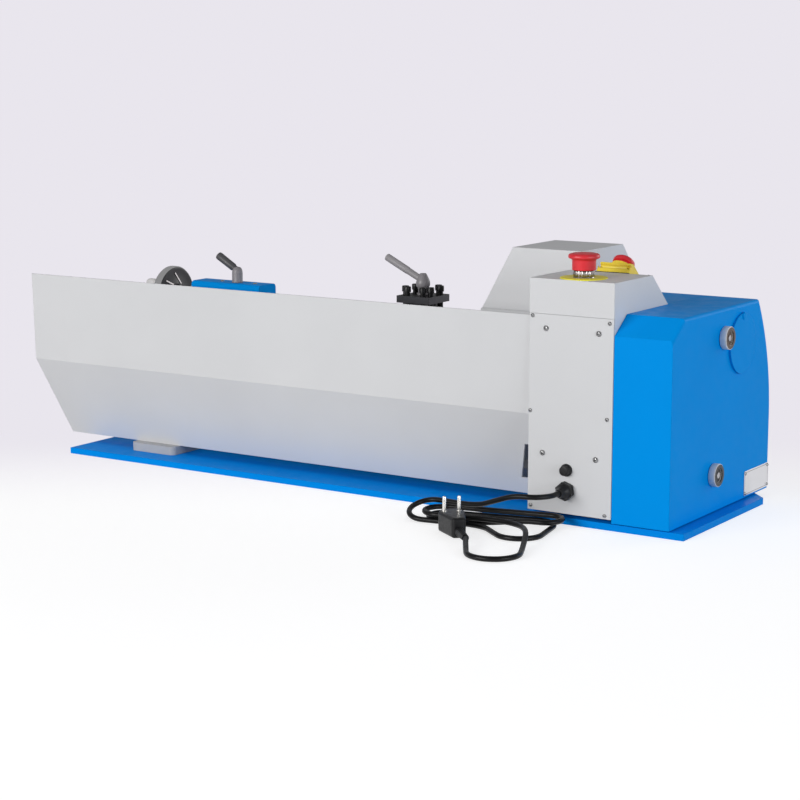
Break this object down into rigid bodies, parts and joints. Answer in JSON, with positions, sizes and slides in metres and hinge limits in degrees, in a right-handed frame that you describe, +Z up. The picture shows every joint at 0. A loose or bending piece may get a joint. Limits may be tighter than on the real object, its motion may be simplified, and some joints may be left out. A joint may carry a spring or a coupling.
{
  "type": "metal lathe",
  "caption": "Bench metal lathe seen from behind, with chip tray, splash guard, geared head, carriage, tool post, tailstock, chuck guard, switch box and mains cord.",
  "frame": {"origin": "centre of the bench bolt pattern, on the underside of the chip tray, straight below the spindle axis", "axes": "+X from headstock to tailstock along the spindle, operator at -Y, +Z up"},
  "size_m": [1.068, 0.6025, 0.345],
  "materials": {
    "blue_paint": "smooth semi-gloss enamel",
    "grey_paint": "fine satin powder coat",
    "bed_iron": "machined and painted casting",
    "machined_iron": "machined faces",
    "ground_steel": "ground and oiled",
    "black_oxide": "blackened steel",
    "chrome": "polished",
    "black_plastic": "moulded, fine grain",
    "black_enamel": "gloss black",
    "red_plastic": "moulded",
    "yellow_plastic": "moulded",
    "green_plastic": "moulded",
    "belt_rubber": "toothless flat belt",
    "cord_rubber": "smooth flexible jacket",
    "motor_paint": "black enamel"
  },
  "bodies": {
    "base": {"chip_tray": "blue_paint", "bed": "bed_iron", "rack": "ground_steel", "headstock": "grey_paint", "spindle_bearings": "ground_steel", "control_box": "grey_paint", "rear_cover": "grey_paint", "cable_gland": "black_plastic", "fuse_holder": "black_plastic", "estop_collar": "chrome", "switch_body": "black_plastic", "gear_plate": "machined_iron", "gear_quadrant": "machined_iron", "motor": "motor_paint", "drive_belt": "belt_rubber", "leadscrew_brackets": "machined_iron", "splash_guard": "grey_paint", "power_cord": "cord_rubber", "cord_hank": "cord_rubber", "plug_cord": "cord_rubber", "plug": "black_plastic"},
    "estop": {"estop_button": "red_plastic"},
    "lid": {"switch_lid": "yellow_plastic"},
    "start": {"start_button": "green_plastic"},
    "stop": {"stop_button": "red_plastic"},
    "speed": {"speed_knob": "black_plastic"},
    "direction": {"direction_switch": "black_plastic"},
    "cover": {"gear_cover": "blue_paint"},
    "nut_upper": {"cover_knob_upper": "black_plastic"},
    "nut_lower": {"cover_knob_lower": "black_plastic"},
    "bore_disc": {"bore_cover": "grey_paint"},
    "spindle_unit": {"spindle": "ground_steel", "spindle_gear": "ground_steel", "spindle_pulley": "ground_steel", "chuck_body": "ground_steel"},
    "jaw_1": {"chuck_jaw_1": "ground_steel"},
    "jaw_2": {"chuck_jaw_2": "ground_steel"},
    "jaw_3": {"chuck_jaw_3": "ground_steel"},
    "idler": {"idler_gear": "ground_steel"},
    "feed_screw": {"leadscrew": "ground_steel", "leadscrew_gear": "ground_steel"},
    "motor_drive": {"motor_pulley": "ground_steel"},
    "guard": {"chuck_guard": "grey_paint"},
    "carriage": {"saddle": "machined_iron", "apron": "grey_paint"},
    "carriage_wheel": {"carriage_handwheel": "black_enamel"},
    "half_nut": {"half_nut_lever": "chrome"},
    "cross": {"cross_slide": "machined_iron"},
    "cross_wheel": {"cross_handwheel": "black_enamel"},
    "compound": {"compound_base": "machined_iron"},
    "top": {"top_slide": "machined_iron"},
    "top_wheel": {"top_slide_handwheel": "black_enamel"},
    "post": {"tool_post": "black_oxide", "tool_screws": "black_oxide"},
    "post_clamp": {"tool_post_lever": "chrome"},
    "tailstock": {"tailstock_body": "blue_paint"},
    "barrel": {"quill": "ground_steel", "dead_centre": "ground_steel"},
    "tail_wheel": {"tailstock_handwheel": "black_enamel"},
    "barrel_lock": {"quill_lock_lever": "chrome"}
  },
  "joints": [
    {"name": "estop_press", "type": "slide", "parent": "base", "child": "estop", "axis": [0, 0, 1], "range_m": [-0.005, 0]},
    {"name": "switch_lid_hinge", "type": "hinge", "parent": "base", "child": "lid", "pos_m": [-0.34, 0.08283, 0.31729], "axis": [1, 0, 0], "range_deg": [-98, 0]},
    {"name": "start_press", "type": "slide", "parent": "base", "child": "start", "axis": [0, -0.6677, 0.7444], "range_m": [-0.003, 0], "stiffness_N_per_m": 200, "springref_m": 0.002},
    {"name": "stop_press", "type": "slide", "parent": "base", "child": "stop", "axis": [0, -0.6677, 0.7444], "range_m": [-0.003, 0], "stiffness_N_per_m": 200, "springref_m": 0.002},
    {"name": "speed_knob_turn", "type": "hinge", "parent": "base", "child": "speed", "pos_m": [-0.318, -0.092, 0.158], "axis": [0, 1, 0], "range_deg": [0, 270]},
    {"name": "direction_rock", "type": "hinge", "parent": "base", "child": "direction", "pos_m": [-0.366, -0.092, 0.158], "axis": [1, 0, 0], "range_deg": [-12, 12]},
    {"name": "cover_slide", "type": "slide", "parent": "base", "child": "cover", "axis": [-1, 0, 0], "range_m": [0, 0.12]},
    {"name": "upper_nut_turn", "type": "hinge", "parent": "cover", "child": "nut_upper", "pos_m": [-0.4821, 0.056, 0.234], "axis": [1, 0, 0], "continuous": true},
    {"name": "lower_nut_turn", "type": "hinge", "parent": "cover", "child": "nut_lower", "pos_m": [-0.4821, 0.08, 0.06], "axis": [1, 0, 0], "continuous": true},
    {"name": "bore_cover_swing", "type": "hinge", "parent": "cover", "child": "bore_disc", "pos_m": [-0.4821, 0, 0.256], "axis": [1, 0, 0], "range_deg": [-100, 0]},
    {"name": "spindle_spin", "type": "hinge", "parent": "base", "child": "spindle_unit", "pos_m": [-0.2828, 0, 0.22], "axis": [1, 0, 0], "continuous": true},
    {"name": "jaw_1_slide", "type": "slide", "parent": "spindle_unit", "child": "jaw_1", "axis": [0, 0, 1], "range_m": [-0.0045, 0.008]},
    {"name": "jaw_2_slide", "type": "slide", "parent": "spindle_unit", "child": "jaw_2", "axis": [0, -0.866, -0.5], "range_m": [-0.0045, 0.008]},
    {"name": "jaw_3_slide", "type": "slide", "parent": "spindle_unit", "child": "jaw_3", "axis": [0, 0.866, -0.5], "range_m": [-0.0045, 0.008]},
    {"name": "idler_spin", "type": "hinge", "parent": "base", "child": "idler", "pos_m": [-0.448, -0.01512, 0.12824], "axis": [1, 0, 0], "continuous": true},
    {"name": "leadscrew_spin", "type": "hinge", "parent": "base", "child": "feed_screw", "pos_m": [-0.448, -0.066, 0.054], "axis": [1, 0, 0], "continuous": true},
    {"name": "motor_spin", "type": "hinge", "parent": "base", "child": "motor_drive", "pos_m": [-0.428, 0.15, 0.078], "axis": [1, 0, 0], "continuous": true},
    {"name": "guard_swing", "type": "hinge", "parent": "base", "child": "guard", "pos_m": [-0.2828, 0.065, 0.243], "axis": [1, 0, 0], "range_deg": [-85, 0]},
    {"name": "carriage_slide", "type": "slide", "parent": "base", "child": "carriage", "axis": [1, 0, 0], "range_m": [-0.08, 0.09]},
    {"name": "carriage_wheel_turn", "type": "hinge", "parent": "carriage", "child": "carriage_wheel", "pos_m": [-0.048, -0.102, 0.072], "axis": [0, 1, 0], "continuous": true},
    {"name": "half_nut_turn", "type": "hinge", "parent": "carriage", "child": "half_nut", "pos_m": [0.052, -0.102, 0.084], "axis": [0, 1, 0], "range_deg": [-35, 0]},
    {"name": "cross_wheel_turn", "type": "hinge", "parent": "carriage", "child": "cross_wheel", "pos_m": [0.008, -0.102, 0.12], "axis": [0, 1, 0], "range_deg": [-10082, 2162]},
    {"name": "cross_slide_move", "type": "slide", "parent": "carriage", "child": "cross", "axis": [0, 1, 0], "range_m": [-0.056, 0.012]},
    {"name": "compound_swivel", "type": "hinge", "parent": "cross", "child": "compound", "pos_m": [0.008, -0.0015, 0.152], "axis": [0, 0, 1], "range_deg": [-45, 45]},
    {"name": "top_slide_move", "type": "slide", "parent": "compound", "child": "top", "axis": [-1, 0, 0], "range_m": [-0.01, 0.04]},
    {"name": "top_wheel_turn", "type": "hinge", "parent": "top", "child": "top_wheel", "pos_m": [0.072, -0.0015, 0.1816], "axis": [-1, 0, 0], "range_deg": [-1802, 7202]},
    {"name": "tool_post_turn", "type": "hinge", "parent": "top", "child": "post", "pos_m": [0.008, -0.0015, 0.25], "axis": [0, 0, 1], "continuous": true},
    {"name": "tool_post_clamp", "type": "hinge", "parent": "top", "child": "post_clamp", "pos_m": [0.008, -0.0015, 0.255], "axis": [0, 0, 1], "range_deg": [-100, 0]},
    {"name": "tailstock_slide", "type": "slide", "parent": "base", "child": "tailstock", "axis": [1, 0, 0], "range_m": [-0.09, 0.008]},
    {"name": "barrel_slide", "type": "slide", "parent": "tailstock", "child": "barrel", "axis": [-1, 0, 0], "range_m": [0, 0.06]},
    {"name": "tail_wheel_turn", "type": "hinge", "parent": "tailstock", "child": "tail_wheel", "pos_m": [0.411, 0, 0.22], "axis": [1, 0, 0], "range_deg": [-1, 10802]},
    {"name": "barrel_lock_turn", "type": "hinge", "parent": "tailstock", "child": "barrel_lock", "pos_m": [0.336, 0.004, 0.247], "axis": [0, 0, 1], "range_deg": [-60, 60]}
  ],
  "couplings": [
    {"joint": "idler_spin", "follows": "spindle_spin", "ratio": -0.47619},
    {"joint": "leadscrew_spin", "follows": "spindle_spin", "ratio": 1.1111},
    {"joint": "motor_spin", "follows": "spindle_spin", "ratio": 2},
    {"joint": "jaw_2_slide", "follows": "jaw_1_slide", "ratio": 1},
    {"joint": "jaw_3_slide", "follows": "jaw_1_slide", "ratio": 1},
    {"joint": "carriage_wheel_turn", "follows": "carriage_slide", "rad_per_m": -95.238},
    {"joint": "cross_wheel_turn", "follows": "cross_slide_move", "rad_per_m": 3141.6},
    {"joint": "top_wheel_turn", "follows": "top_slide_move", "rad_per_m": 3141.6},
    {"joint": "tail_wheel_turn", "follows": "barrel_slide", "rad_per_m": 3141.6}
  ]
}
